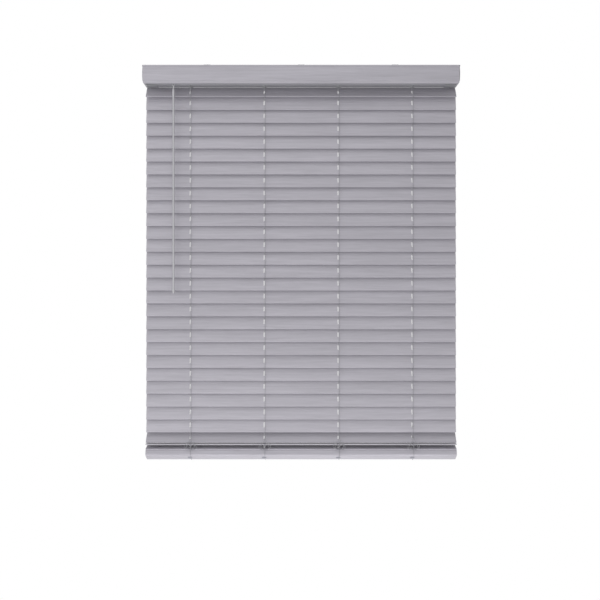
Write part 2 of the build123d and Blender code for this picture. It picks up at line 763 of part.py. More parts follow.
# Tilter worm: a right-hand thread in step with the gear's teeth, its shaft out of the headrail, and the pin
# that the wand hangs from
thread_pitch = gear_module * pi
thread_reach = mesh_reach - gear_root_radius - housing_room - worm_core_radius
thread_length = worm_turns * thread_pitch
thread_line = shaft_plane(-thread_length / 2) * Helix(thread_pitch, thread_length, worm_core_radius)
thread_plane = Plane(origin=thread_line @ 0, x_dir=(1, 0, 0), z_dir=thread_line % 0)
shaft_end = shaft_length - pin_length / 2
with BuildPart() as tilter_worm:
    with BuildSketch(shaft_plane(-worm_length / 2)):
        Circle(worm_core_radius)
    extrude(amount=worm_length)
    with BuildSketch(thread_plane) as thread_section:
        Polygon(
            (-worm_crest, -worm_flank_base / 2),
            (thread_reach + blank_waste, -worm_crest / 2),
            (thread_reach + blank_waste, worm_crest / 2),
            (-worm_crest, worm_flank_base / 2),
            align=None,
        )
    sweep(thread_section.sketch, path=thread_line, is_frenet=True)
    with BuildSketch(shaft_plane(-worm_length / 2)):
        Circle(worm_core_radius + thread_reach)
    extrude(amount=worm_length, mode=Mode.INTERSECT)
    with BuildSketch(shaft_plane(-worm_length / 2 - worm_tail_length)):
        Circle(worm_tail_radius)
    extrude(amount=worm_tail_length)
    with BuildSketch(shaft_plane(worm_length / 2)):
        Circle(worm_shaft_radius)
    extrude(amount=shaft_end - worm_length / 2 - shaft_taper)
    with BuildSketch(shaft_plane(shaft_end - shaft_taper)):
        Circle(worm_shaft_radius)
    extrude(amount=shaft_taper, taper=40)
    with BuildSketch(shaft_plane(shaft_end - shaft_taper)):
        Circle(pin_radius)
    extrude(amount=pin_length + shaft_taper)
    with BuildSketch(shaft_plane(shaft_end + pin_length - pin_button_length / 2)):
        Circle(pin_button)
    extrude(amount=pin_button_length)
tilter_worm.part.label = "tilter_worm"
export_step(tilter_worm.part, "parts/tilter_worm.step")

# Tilter housing: a block on the channel's floor, hollowed for the gear and the worm and open above
housing_base_z = headrail_floor_z + seat_gap
housing_front_y = headrail_front_y + headrail_wall + fit
gear_room = gear_tip_radius + housing_room
worm_room = worm_core_radius + thread_reach + housing_room
worm_bay = worm_length / 2 + housing_room
with BuildPart() as tilter_housing:
    with BuildSketch(Plane.YZ.offset(tilter_x - tilter_width / 2)):
        with Locations(((housing_front_y + tilter_back_y) / 2, (housing_base_z + tilter_top_z) / 2)):
            block = Rectangle(tilter_back_y - housing_front_y, tilter_top_z - housing_base_z)
        chamfer(block.vertices(), tilter_corner)
    extrude(amount=tilter_width)
    with BuildSketch(Plane.YZ.offset(tilter_x - gear_width / 2 - housing_room)):
        with Locations((rod_y, rod_z)):
            Circle(gear_room)
        with Locations((rod_y, rod_z + tilter_top_z / 2)):
            Rectangle(2 * gear_room, tilter_top_z)
    extrude(amount=gear_width + 2 * housing_room, mode=Mode.SUBTRACT)
    with BuildSketch(shaft_plane(-worm_bay)):
        Circle(worm_room)
    extrude(amount=2 * worm_bay, mode=Mode.SUBTRACT)
    with BuildSketch(Plane.XY.offset(mesh_z)):
        with Locations((tilter_x, mesh_y)):
            Rectangle(2 * worm_room, worm_length)
    extrude(amount=tilter_top_z, mode=Mode.SUBTRACT)
    with BuildSketch(shaft_plane(-worm_length)):
        Circle(worm_shaft_radius + fit)
    extrude(amount=shaft_length + worm_length, mode=Mode.SUBTRACT)
    with BuildSketch(Plane.YZ.offset(tilter_x)):
        with Locations((rod_y, rod_z)):
            Circle(gear_hub + fit)
    extrude(amount=tilter_width, both=True, mode=Mode.SUBTRACT)
tilter_housing.part.label = "tilter_housing"
export_step(tilter_housing.part, "parts/tilter_housing.step")

# Wand link: a long wire eye round the pin, with a shank that turns freely in the wand's cap
link_top_z = pivot_z - link_slack
link_low_z = link_top_z - link_leg
with BuildPart() as wand_hook:
    link_plane = Plane(origin=(tilter_x, wand_y, link_top_z), x_dir=(1, 0, 0), z_dir=(0, -1, 0))
    with BuildLine(link_plane) as link_path:
        CenterArc((0, 0), link_radius, 0, 180)
        Line((-link_radius, 0), (-link_radius, -link_leg))
        CenterArc((0, -link_leg), link_radius, 180, 180)
        Line((link_radius, -link_leg), (link_radius, 0))
    with BuildSketch(Plane(origin=link_path.line @ 0, z_dir=link_path.line % 0)):
        RegularPolygon(link_wire, 6)
    sweep()
    with BuildSketch(Plane.XY.offset(link_low_z - link_radius)):
        with Locations((tilter_x, wand_y)):
            RegularPolygon(link_shank, 6)
    extrude(amount=-link_shank_length)
wand_hook.part.label = "wand_hook"
export_step(wand_hook.part, "parts/wand_hook.step")

# Wand: a hexagonal rod with a tapered cap, bored for the link, and a rounded tip
cap_mouth_z = wand_top_z + wand_mouth_rise
cap_foot_z = wand_top_z - wand_cap_length
tip_top_z = wand_bottom_z + wand_tip_length
mouth_radius = link_shank + fit + wand_mouth_wall
with BuildPart() as wand:
    with BuildSketch(Plane.XY.offset(tip_top_z)):
        with Locations((tilter_x, wand_y)):
            RegularPolygon(wand_radius - wand_flat_inset, 6)
    extrude(amount=cap_foot_z - tip_top_z)
    with BuildSketch(Plane(origin=(tilter_x, wand_y, 0), x_dir=(1, 0, 0), z_dir=(0, -1, 0))):
        Polygon(
            (0, cap_mouth_z),
            (mouth_radius, cap_mouth_z),
            (wand_radius, wand_top_z - wand_easing),
            (wand_radius, cap_foot_z),
            (0, cap_foot_z),
            align=None,
        )
        Polygon(
            (0, tip_top_z),
            (wand_radius, tip_top_z),
            (wand_radius, wand_bottom_z + wand_easing),
            (wand_radius - wand_easing, wand_bottom_z),
            (0, wand_bottom_z),
            align=None,
        )
    revolve(axis=Axis((tilter_x, wand_y, 0), (0, 0, 1)))
    with BuildSketch(Plane.XY.offset(cap_mouth_z)):
        with Locations((tilter_x, wand_y)):
            Circle(link_shank + fit)
    extrude(amount=-link_shank_length, mode=Mode.SUBTRACT)
wand.part.label = "wand"
export_step(wand.part, "parts/wand.step")

# Spring motor: a closed case on the channel's floor, grooved for the rod, with two spring drums on top
motor_base_z = headrail_floor_z + seat_gap
with BuildPart() as spring_motor:
    with BuildSketch(Plane.XY.offset(motor_base_z)):
        with Locations((0, slat_axis_y)):
            case = Rectangle(motor_length, motor_depth)
        chamfer(case.vertices(), motor_corner)
    extrude(amount=motor_height)
    with BuildSketch(Plane.YZ.offset(-motor_length)):
        with Locations((rod_y, rod_z + motor_height / 2 - motor_rod_slot / 2)):
            Rectangle(motor_rod_slot, motor_height)
        with Locations((rod_y, (outer_run_z + inner_run_z) / 2)):
            Rectangle(run_groove, run_groove + outer_run_z - inner_run_z)
    extrude(amount=2 * motor_length, mode=Mode.SUBTRACT)
    with BuildSketch(Plane.YZ.offset(-motor_length / 2 + 2 * cord_seat)):
        with Locations((rod_y, (outer_run_z + inner_run_z) / 2)):
            Rectangle(run_seal, run_seal + outer_run_z - inner_run_z)
    extrude(amount=motor_length - 4 * cord_seat)
    with BuildSketch(Plane.XY.offset(motor_base_z + motor_height)):
        with Locations((-motor_length / 4, slat_axis_y), (motor_length / 4, slat_axis_y)):
            Circle(spool_radius)
            Rectangle(2 * spool_radius, motor_rod_slot, mode=Mode.SUBTRACT)
    extrude(amount=spool_height)
spring_motor.part.label = "spring_motor"
export_step(spring_motor.part, "parts/spring_motor.step")
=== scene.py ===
import json
from math import atan, cos, pi, radians, sin

import bpy
from mathutils import Matrix, Vector
from mathutils.geometry import tessellate_polygon


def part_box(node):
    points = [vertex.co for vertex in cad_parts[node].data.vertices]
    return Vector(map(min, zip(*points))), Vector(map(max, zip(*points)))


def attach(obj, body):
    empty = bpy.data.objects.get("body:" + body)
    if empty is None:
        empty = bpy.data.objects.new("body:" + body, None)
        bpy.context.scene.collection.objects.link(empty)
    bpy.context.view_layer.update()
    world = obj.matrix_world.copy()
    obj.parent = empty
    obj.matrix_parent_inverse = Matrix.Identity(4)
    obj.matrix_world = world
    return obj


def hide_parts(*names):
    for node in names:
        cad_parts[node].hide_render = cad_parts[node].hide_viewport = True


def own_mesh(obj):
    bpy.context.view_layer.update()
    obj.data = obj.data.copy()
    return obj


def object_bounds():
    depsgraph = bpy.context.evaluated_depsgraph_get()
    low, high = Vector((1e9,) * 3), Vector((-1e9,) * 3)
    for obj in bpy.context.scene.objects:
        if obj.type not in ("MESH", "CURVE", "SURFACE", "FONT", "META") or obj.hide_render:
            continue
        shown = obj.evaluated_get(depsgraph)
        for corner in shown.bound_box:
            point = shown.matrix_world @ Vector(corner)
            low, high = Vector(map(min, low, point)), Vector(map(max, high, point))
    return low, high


bl_info = {
    "name": "Faux wood blind",
    "version": (1, 0, 0),
    "blender": (4, 5, 0),
    "location": "View3D > Sidebar > Blind",
    "description": "Dresses a faux wood blind: slats, ladders, cords, rail, valance, wand and studio",
    "category": "Object",
}

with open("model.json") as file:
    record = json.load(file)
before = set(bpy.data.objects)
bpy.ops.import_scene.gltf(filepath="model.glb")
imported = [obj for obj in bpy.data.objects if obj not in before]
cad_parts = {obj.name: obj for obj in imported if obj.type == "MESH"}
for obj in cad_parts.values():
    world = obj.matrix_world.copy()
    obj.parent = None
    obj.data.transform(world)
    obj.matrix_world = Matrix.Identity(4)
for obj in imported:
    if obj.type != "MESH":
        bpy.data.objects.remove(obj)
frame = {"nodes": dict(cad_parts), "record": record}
cad_box = [list(corner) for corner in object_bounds()]

# Driving dimensions in metres, the same as in the solids
SLAT_COUNT = 30
LADDER_COUNT = 4
LADDER_SPACING = 0.2468
LADDER_OFFSET = 0.0033
LADDER_STANDOFF = 0.0024
SLAT_THICKNESS = 0.003
SLOT_WIDTH = 0.0034
SLOT_LENGTH = 0.018
RUNG_SPREAD = 0.0045
RUNG_DROP = 0.0007
RUNG_BEND = 0.82
FIRST_TAUT_SLAT = 2
LAST_TAUT_SLAT = 27
LIFT_TRAVEL = 0.23

# The tops of the ladder cords, inside and under the headrail
DRUM_PLACE = -0.030
DRUM_RADIUS = 0.012
EXIT_HEIGHT = 0.002
HEAD_STANDOFF = 0.0013
HEAD_OVERLAP = 0.0015
REAR_HEAD_DROP = 0.004

# Where the ladder cords wrap the bottom rail
FOOT_CLEARANCE = 0.0009
FOOT_END = 0.008

# The lift cords' run from the motor to the ladders
MOTOR_SPOOL = 0.075
INNER_RUN_DROP = 0.0034
LIFT_BEND = 0.006

# The loose tails of a ladder's front cord: where they leave it, how far out they hang and how long they sway
SLACK_START = (0.006, 0.014)
SLACK_OUT = (0.004, 0.0015)
SLACK_SCALE = (1.0, -0.7)

# Their loop in front of the crowded slats: how far across and how far down each point is
SLACK_LOOP = (
    (0.003, 0.028),
    (0.012, 0.034),
    (0.021, 0.044),
    (0.014, 0.054),
    (-0.004, 0.058),
    (-0.019, 0.054),
    (-0.020, 0.044),
    (-0.008, 0.038),
    (0.002, 0.046),
)

# Where the photograph was taken from
CAMERA_PLACE = (-0.0037, -3.98, -0.741)
PHOTO_PIXELS = 600
FOCAL_PIXELS = 1182.6

LADDER_PLACES = [(i - (LADDER_COUNT - 1) / 2) * LADDER_SPACING for i in range(LADDER_COUNT)]
SLAT_NODES = [f"slat_{number:02d}" for number in range(1, SLAT_COUNT + 1)]


class FoilSettings(bpy.types.PropertyGroup):
    """The printed foil on the slats, the valance and the bottom rail."""

    colour: bpy.props.FloatVectorProperty(
        name="Colour",
        description="Mean colour of the print",
        subtype="COLOR",
        size=3,
        default=(0.430, 0.416, 0.460),
    )
    grain: bpy.props.FloatProperty(
        name="Grain contrast", description="How strong the grain looks", default=0.34, min=0, max=1
    )
    relief: bpy.props.FloatProperty(
        name="Grain relief", description="How deep the grain looks", default=0.25, min=0, max=1
    )
    roughness: bpy.props.FloatProperty(
        name="Roughness", description="How matt the foil is", default=0.5, min=0, max=1
    )


class CordSettings(bpy.types.PropertyGroup):
    """The braided cords."""

    ladder_radius: bpy.props.FloatProperty(
        name="Ladder cord radius", description="Half a ladder cord's thickness", default=0.0006, unit="LENGTH"
    )
    rung_radius: bpy.props.FloatProperty(
        name="Rung radius", description="Half a rung's thickness", default=0.0004, unit="LENGTH"
    )
    lift_radius: bpy.props.FloatProperty(
        name="Lift cord radius", description="Half a lift cord's thickness", default=0.0007, unit="LENGTH"
    )
    roundness: bpy.props.IntProperty(
        name="Roundness", description="How finely a cord is rounded", default=2, min=1, max=6
    )


class StudioSettings(bpy.types.PropertyGroup):
    """The floor, the lights and the camera."""

    floor_drop: bpy.props.FloatProperty(
        name="Floor drop", description="From the bottom rail to the floor", default=0.65, unit="LENGTH"
    )
    key_power: bpy.props.FloatProperty(
        name="Key light",
        description="Power of the key light, which the others follow",
        default=38.0,
        min=0,
        unit="POWER",
    )
    ambient: bpy.props.FloatProperty(
        name="Ambient light", description="Strength of the light from all around", default=0.4, min=0
    )


def settings():
    """The three groups of settings of this scene."""
    scene = bpy.context.scene
    return scene.blind_foil, scene.blind_cords, scene.blind_studio


# Shader maths

BLACK = (0.0, 0.0, 0.0, 1.0)
WHITE = (1.0, 1.0, 1.0, 1.0)


class Wire:
    """An output of a shader node that reckons like a number."""

    def __init__(self, tree, socket):
        self.tree = tree
        self.socket = socket

    def maths(self, operation, *values):
        """Adds a Math node on some values, and gives its outcome."""
        node = self.tree.nodes.new("ShaderNodeMath")
        node.operation = operation
        for target, value in zip(node.inputs, values):
            connect(self.tree, target, value)
        return Wire(self.tree, node.outputs[0])

    def __add__(self, other):
        return self.maths("ADD", self, other)

    def __radd__(self, other):
        return self.maths("ADD", other, self)

    def __sub__(self, other):
        return self.maths("SUBTRACT", self, other)

    def __rsub__(self, other):
        return self.maths("SUBTRACT", other, self)

    def __mul__(self, other):
        return self.maths("MULTIPLY", self, other)

    def __rmul__(self, other):
        return self.maths("MULTIPLY", other, self)

    def clamp(self):
        """The same value, held between 0 and 1."""
        wire = self.maths("ADD", self, 0.0)
        wire.socket.node.use_clamp = True
        return wire


def connect(tree, target, value):
    """Links a wire to a socket, or sets the socket to a plain value."""
    if isinstance(value, Wire):
        tree.links.new(value.socket, target)
    else:
        target.default_value = value


class NodeTree:
    """The nodes of a material or of the world."""

    def __init__(self, tree, shader):
        self.tree = tree
        self.shader = tree.nodes[shader]

    def node(self, kind, output=0, states=None, sockets=None):
        """Adds any node, sets its states and then its sockets, and gives one of its outputs."""
        made = self.tree.nodes.new(kind)
        for key, value in (states or {}).items():
            setattr(made, key, value)
        for key, value in (sockets or {}).items():
            connect(self.tree, made.inputs[key], value)
        return Wire(self.tree, made.outputs[output])

    def set(self, **sockets):
        """Sets or links the shader's own sockets."""
        for key, value in sockets.items():
            connect(self.tree, self.shader.inputs[key.replace("_", " ")], value)


class Finish(NodeTree):
    """A material with one Principled shader and the nodes that feed it."""

    def __init__(self, name, **shader):
        self.material = bpy.data.materials.new(name)
        self.material.use_nodes = True
        super().__init__(self.material.node_tree, "Principled BSDF")
        self.set(**shader)

    def place(self, scale):
        """The point on the piece, stretched by a scale along each axis."""
        point = self.node("ShaderNodeTexCoord", output="Object")
        return self.node("ShaderNodeVectorMath", 0, {"operation": "MULTIPLY"}, {0: point, 1: scale})

    def noise(self, scale, detail=2.0, roughness=0.5):
        """Noise over the piece, from 0 to 1, with its own scale along each axis."""
        sockets = {"Vector": self.place(scale), "Scale": 1.0, "Detail": detail, "Roughness": roughness}
        return self.node("ShaderNodeTexNoise", "Fac", sockets=sockets)

    def tint(self, colour, level):
        """A colour made lighter or darker by a wire."""
        states = {"data_type": "RGBA", "clamp_factor": False}
        return self.node("ShaderNodeMix", 2, states, {"Factor": level, "A": BLACK, "B": (*colour, 1.0)})

    def relief(self, height, strength, distance):
        """Raises and sinks the surface by a wire."""
        sockets = {"Height": height, "Strength": strength, "Distance": distance}
        self.set(Normal=self.node("ShaderNodeBump", sockets=sockets))


def foil(name, brightness=1.0):
    """Matt printed foil with a faint wood grain that runs along the blind."""
    look = settings()[0]
    finish = Finish(name, Roughness=look.roughness, Specular_IOR_Level=0.35)
    streak = finish.noise((7.0, 190.0, 190.0), detail=3.0, roughness=0.6)
    fibre = finish.noise((22.0, 700.0, 700.0), detail=2.0)
    board = finish.noise((2.2, 38.0, 38.0), detail=2.0)
    level = brightness * (1.0 + look.grain * (streak + 0.5 * fibre + 0.6 * board - 1.05))
    finish.set(Base_Color=finish.tint(look.colour, level))
    finish.relief(streak, look.relief, 0.0002)
    return finish.material


def plain(name, colour, roughness, wear=0.06, **shader):
    """A plain finish with a slight unevenness in its colour and gloss."""
    finish = Finish(name, **shader)
    patch = finish.noise((35.0, 35.0, 35.0), detail=3.0)
    finish.set(Base_Color=finish.tint(colour, 1.0 + wear * (patch - 0.5)))
    finish.set(Roughness=(roughness + wear * (patch - 0.5)).clamp())
    return finish.material


def braid(name, colour):
    """A braided cord: a fine crossed relief and a dull, slightly uneven colour."""
    finish = Finish(name, Roughness=0.8, Sheen_Weight=0.2)
    strand = finish.noise((2600.0, 2600.0, 900.0), detail=1.0)
    finish.set(Base_Color=finish.tint(colour, 0.85 + 0.3 * strand))
    finish.relief(strand, 0.4, 0.0002)
    return finish.material


def brushed(name, colour, roughness):
    """Drawn or brushed steel, streaked along its length."""
    finish = Finish(name, Metallic=1.0)
    streak = finish.noise((40.0, 900.0, 900.0), detail=3.0)
    finish.set(Base_Color=finish.tint(colour, 0.92 + 0.16 * streak))
    finish.set(Roughness=(roughness + 0.15 * (streak - 0.5)).clamp())
    return finish.material


MAKERS = {
    "slat": lambda: foil("slat_foil"),
    "valance": lambda: foil("valance_foil", 0.97),
    "rail": lambda: foil("rail_foil", 0.94),
    "headrail": lambda: plain("baked_enamel", (0.36, 0.355, 0.385), 0.42),
    "bracket": lambda: plain("bracket_enamel", (0.36, 0.36, 0.38), 0.45),
    "tilter_plastic": lambda: plain("moulded_plastic", (0.40, 0.40, 0.42), 0.5),
    "clear_plastic": lambda: plain("clip_plastic", (0.90, 0.90, 0.92), 0.12, Transmission_Weight=0.92),
    "gear": lambda: plain("acetal", (0.72, 0.72, 0.68), 0.4),
    "motor_case": lambda: plain("motor_plastic", (0.42, 0.42, 0.44), 0.5),
    "rod": lambda: brushed("drawn_steel", (0.62, 0.62, 0.63), 0.35),
    "hook": lambda: brushed("wire_steel", (0.70, 0.70, 0.71), 0.3),
    "ladder": lambda: braid("ladder_braid", (0.26, 0.26, 0.28)),
    "lift_cord": lambda: braid("lift_braid", (0.48, 0.48, 0.50)),
    "plug": lambda: plain("plug_plastic", (0.24, 0.24, 0.28), 0.45),
    "wand": lambda: plain("wand_plastic", (0.44, 0.44, 0.46), 0.25, Coat_Weight=0.4),
}
made_finishes = {}


def finish_of(slot):
    """The material of a slot, made once."""
    if slot not in made_finishes:
        made_finishes[slot] = MAKERS[slot]()
    return made_finishes[slot]


# Pieces

CURVE_STEPS = 6
CORD_SHARPNESS = 60.0


def add_piece(name, mesh, body, slot, *nodes):
    """Puts a mesh into the scene on its body, with its slot's finish, in place of its nodes."""
    piece = bpy.data.objects.new(name, mesh)
    bpy.context.scene.collection.objects.link(piece)
    mesh.materials.clear()
    mesh.materials.append(finish_of(slot))
    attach(piece, body)
    if nodes:
        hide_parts(*nodes)
    return piece


def smooth(mesh, degrees=35.0):
    """Smooth shading that keeps edges sharper than an angle."""
    mesh.polygons.foreach_set("use_smooth", [True] * len(mesh.polygons))
    mesh.set_sharp_from_angle(angle=radians(degrees))
    return mesh


def mesh_of(name, vertices, faces):
    """A smooth mesh of vertices and faces."""
    mesh = bpy.data.meshes.new(name)
    mesh.from_pydata([tuple(v) for v in vertices], [], faces)
    mesh.update()
    return smooth(mesh)


def tubes(name, routes, radius, order=3):
    """One mesh of round cords along lists of points, in smooth lines, or in straight ones at order 2."""
    curve = bpy.data.curves.new(name, "CURVE")
    curve.dimensions = "3D"
    curve.bevel_depth = radius
    curve.bevel_resolution = settings()[1].roundness
    curve.resolution_u = CURVE_STEPS
    curve.use_fill_caps = True
    for route in routes:
        spline = curve.splines.new("NURBS")
        spline.points.add(len(route) - 1)
        for point, place in zip(spline.points, route):
            point.co = (*place, 1.0)
        spline.order_u = min(order, len(route))
        spline.use_endpoint_u = True
    holder = bpy.data.objects.new(name, curve)
    bpy.context.scene.collection.objects.link(holder)
    bpy.context.view_layer.update()
    evaluated = holder.evaluated_get(bpy.context.evaluated_depsgraph_get())
    mesh = bpy.data.meshes.new_from_object(evaluated)
    mesh.name = name
    bpy.data.objects.remove(holder)
    bpy.data.curves.remove(curve)
    return smooth(mesh, CORD_SHARPNESS)


# Slats


def slat_matrix(node):
    """The place of a slat or rail: x runs along it, y to its rear edge and z out of its upper face."""
    mesh = frame["nodes"][node].data
    face = max(mesh.polygons, key=lambda polygon: polygon.area)
    out = face.normal if face.normal.z > 0 else -face.normal
    out = Vector((0.0, out.y, out.z)).normalized()
    along = Vector((1.0, 0.0, 0.0))
    low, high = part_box(node)
    matrix = Matrix((along, out.cross(along), out)).transposed().to_4x4()
    matrix.translation = (low + high) / 2
    return matrix


def slat_width(node):
    """The width of a slat, from its box and its tilt."""
    low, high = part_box(node)
    across = slat_matrix(node).col[1]
    rise = high.z - low.z - SLAT_THICKNESS
    depth = high.y - low.y - SLAT_THICKNESS
    return rise * abs(across.z) + depth * abs(across.y) + SLAT_THICKNESS


def slot_outline(x, steps=8):
    """A routing hole with round ends, anticlockwise from its right side."""
    radius = SLOT_WIDTH / 2
    reach = SLOT_LENGTH / 2 - radius
    points = []
    for end in (1, -1):
        for i in range(steps + 1):
            angle = pi * i / steps + (0 if end > 0 else pi)
            points.append(Vector((x + radius * cos(angle), end * reach + radius * sin(angle), 0)))
    return points


def slat_mesh(name, length, width, matrix, rounding=6):
    """A slat with half-round edges and a routing hole at each ladder."""
    half = length / 2
    thick = SLAT_THICKNESS / 2
    edge = width / 2 - thick
    corners = [(-half, -edge), (half, -edge), (half, edge), (-half, edge)]
    loops = [[Vector((x, y, 0)) for x, y in corners]] + [slot_outline(x) for x in LADDER_PLACES]
    flat = [point for loop in loops for point in loop]
    count = len(flat)
    up = Vector((0, 0, thick))
    vertices = [point + up for point in flat] + [point - up for point in flat]
    faces = []
    for a, b, c in tessellate_polygon(loops):
        if (flat[b] - flat[a]).cross(flat[c] - flat[a]).z <= 0:
            b, c = c, b
        faces.append((a, b, c))
        faces.append((a + count, c + count, b + count))
    start = 4
    for loop in loops[1:]:
        for i in range(len(loop)):
            j = (i + 1) % len(loop)
            faces.append((start + i, start + j, start + j + count, start + i + count))
        start += len(loop)
    for side, (left, right) in ((-1, (0, 1)), (1, (3, 2))):
        rows = [(left, right)]
        for i in range(1, rounding):
            angle = pi / 2 - pi * i / rounding
            y = side * (edge + thick * cos(angle))
            vertices += [Vector((-half, y, thick * sin(angle))), Vector((half, y, thick * sin(angle)))]
            rows.append((len(vertices) - 2, len(vertices) - 1))
        rows.append((left + count, right + count))
        for (a, b), (c, d) in zip(rows, rows[1:]):
            faces.append((a, c, d, b) if side < 0 else (a, b, d, c))
        for end in (0, 1):
            cap = [row[end] for row in rows]
            faces.append(tuple(cap if (side < 0) == (end == 0) else cap[::-1]))
    faces.append((0, 3, 3 + count, count)[::-1])
    faces.append((1, 2, 2 + count, 1 + count))
    return mesh_of(name, [matrix @ vertex for vertex in vertices], faces)


class BLIND_OT_slats(bpy.types.Operator):
    """Adds the thirty slats with their rounded edges and routing holes"""

    bl_idname = "blind.slats"
    bl_label = "Add slats"

    def execute(self, context):
        for node in SLAT_NODES:
            low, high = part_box(node)
            mesh = slat_mesh(f"{node}_board", high.x - low.x, slat_width(node), slat_matrix(node))
            add_piece(f"{node}_board", mesh, node, "slat", node)
        return {"FINISHED"}


# Ladders and cords


def edge_place(node, side):
    """The middle of the rounding at a slat's front (-1) or rear (1) edge, at x 0."""
    reach = slat_width(node) / 2 - SLAT_THICKNESS / 2
    return slat_matrix(node) @ Vector((0, side * reach, 0))


def rung_route(node, x, spread):
    """The line of one rung: round the front edge, under the slat and round the rear edge."""
    matrix = slat_matrix(node)
    reach = slat_width(node) / 2 - SLAT_THICKNESS / 2
    cord_x = x + LADDER_OFFSET
    rung_x = x + spread
    below = -(SLAT_THICKNESS / 2 + RUNG_DROP)
    front = []
    for angle in (100, 70, 40, 10, -20, -50, -80):
        turn = radians(angle)
        front.append((cord_x, -reach - LADDER_STANDOFF * cos(turn), LADDER_STANDOFF * sin(turn)))
    middle = [(rung_x, reach * share, below) for share in (-RUNG_BEND, 0, RUNG_BEND)]
    rear = [(x_place, -y, z) for x_place, y, z in reversed(front)]
    return [matrix @ Vector(point) for point in front + middle + rear]


class BLIND_OT_rungs(bpy.types.Operator):
    """Adds the pairs of rungs that carry each slat"""

    bl_idname = "blind.rungs"
    bl_label = "Add rungs"

    def execute(self, context):
        radius = settings()[1].rung_radius
        for node in SLAT_NODES:
            name = f"{node}_rungs"
            routes = [rung_route(node, x, s) for x in LADDER_PLACES for s in (-RUNG_SPREAD, RUNG_SPREAD)]
            solid = node.replace("slat", "rungs")
            own = [solid] if solid in frame["nodes"] else []
            add_piece(name, tubes(name, routes, radius), node, "ladder", *own)
        return {"FINISHED"}


def cord_line(node, side):
    """The point on a ladder cord beside a slat's edge, at x 0."""
    return edge_place(node, side) + Vector((0, side * LADDER_STANDOFF, 0))


class BLIND_OT_ladders(bpy.types.Operator):
    """Adds the ladder cords, from the headrail to the bottom rail"""

    bl_idname = "blind.ladders"
    bl_label = "Add ladder cords"

    def execute(self, context):
        radius = settings()[1].ladder_radius
        self.add_straight(radius)
        self.add_heads(radius)
        self.add_feet(radius)
        return {"FINISHED"}

    def add_straight(self, radius):
        """The taut cords beside slats 2 to 27."""
        rail = slat_matrix("bottom_rail")
        rail_front = rail @ Vector((0, -rail_size()[0] / 2, 0))
        for side, label in ((-1, "front"), (1, "rear")):
            top = cord_line(SLAT_NODES[FIRST_TAUT_SLAT - 1], side)
            low = cord_line(SLAT_NODES[LAST_TAUT_SLAT - 1], side)
            lines = [x + LADDER_OFFSET for x in LADDER_PLACES]
            routes = [[(line, top.y, top.z), (line, low.y, low.z)] for line in lines]
            name = f"ladder_{label}_lines"
            mesh = tubes(name, routes, radius, 2)
            piece = add_piece(name, mesh, f"ladder_{label}", "ladder", f"ladder_{label}_cords")
            kept = 1 - LIFT_TRAVEL / (top.z - rail.translation.z)
            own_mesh(piece)
            if side < 0:
                self.add_slack(top, low, rail_front, kept, radius)

    def add_slack(self, top, low, rail_front, kept, radius):
        """The loose tails of the front cords, looped in front of the crowded slats."""
        out, below = SLACK_START
        routes = []
        for i, x in enumerate(LADDER_PLACES):
            line = x + LADDER_OFFSET
            turn = 1 if i % 2 else -1
            for scale, depth in zip(SLACK_SCALE, SLACK_OUT):
                route = [(line, low.y, low.z), (line, low.y - out, low.z - below)]
                for across, down in SLACK_LOOP:
                    route.append((line + turn * scale * across, rail_front.y - depth, low.z - down))
                routes.append(route)
        piece = add_piece("ladder_slack", tubes("ladder_slack", routes, radius), "ladder_front", "ladder")
        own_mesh(piece)

    def add_heads(self, radius):
        """The cords from the drums out of the headrail, and their links down to slat 2."""
        exit_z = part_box("headrail")[0].z + EXIT_HEIGHT
        heads = []
        for side, label in ((-1, "front"), (1, "rear")):
            first = cord_line(SLAT_NODES[0], side)
            second = cord_line(SLAT_NODES[1], side)
            head_y = first.y + side * HEAD_STANDOFF
            head_z = first.z if side < 0 else exit_z - REAR_HEAD_DROP
            shoulder = min(first.z, exit_z - EXIT_HEIGHT) - HEAD_OVERLAP
            links = []
            for x in LADDER_PLACES:
                line = x + LADDER_OFFSET
                drum = (line, DRUM_PLACE + side * DRUM_RADIUS, exit_z + DRUM_RADIUS)
                heads.append([drum, (line, head_y, exit_z), (line, head_y, head_z)])
                links.append([(line, head_y, shoulder), (line, second.y, second.z)])
            name = f"ladder_{label}_links"
            add_piece(name, tubes(name, links, radius, 2), f"ladder_{label}", "ladder")
        add_piece("ladder_heads", tubes("ladder_heads", heads, radius), "root", "ladder", "upper_ladders")

    def add_feet(self, radius):
        """The cords down the crowded slats and round the edges of the bottom rail."""
        rail = slat_matrix("bottom_rail")
        width, height = rail_size()
        beside = width / 2 + FOOT_CLEARANCE
        under = -height / 2 - FOOT_CLEARANCE
        routes = []
        for side in (-1, 1):
            stops = [cord_line(SLAT_NODES[LAST_TAUT_SLAT - 1], side)] if side > 0 else []
            stops += [cord_line(node, side) for node in SLAT_NODES[LAST_TAUT_SLAT:]]
            for y, z in ((beside, height / 4), (beside, under), (FOOT_END, under)):
                stops.append(rail @ Vector((0, side * y, z)))
            for x in LADDER_PLACES:
                routes.append([stop + Vector((x + LADDER_OFFSET, 0, 0)) for stop in stops])
        mesh = tubes("ladder_feet", routes, radius, 2)
        add_piece("ladder_feet", mesh, "rail_carriage", "ladder", "lower_ladders")


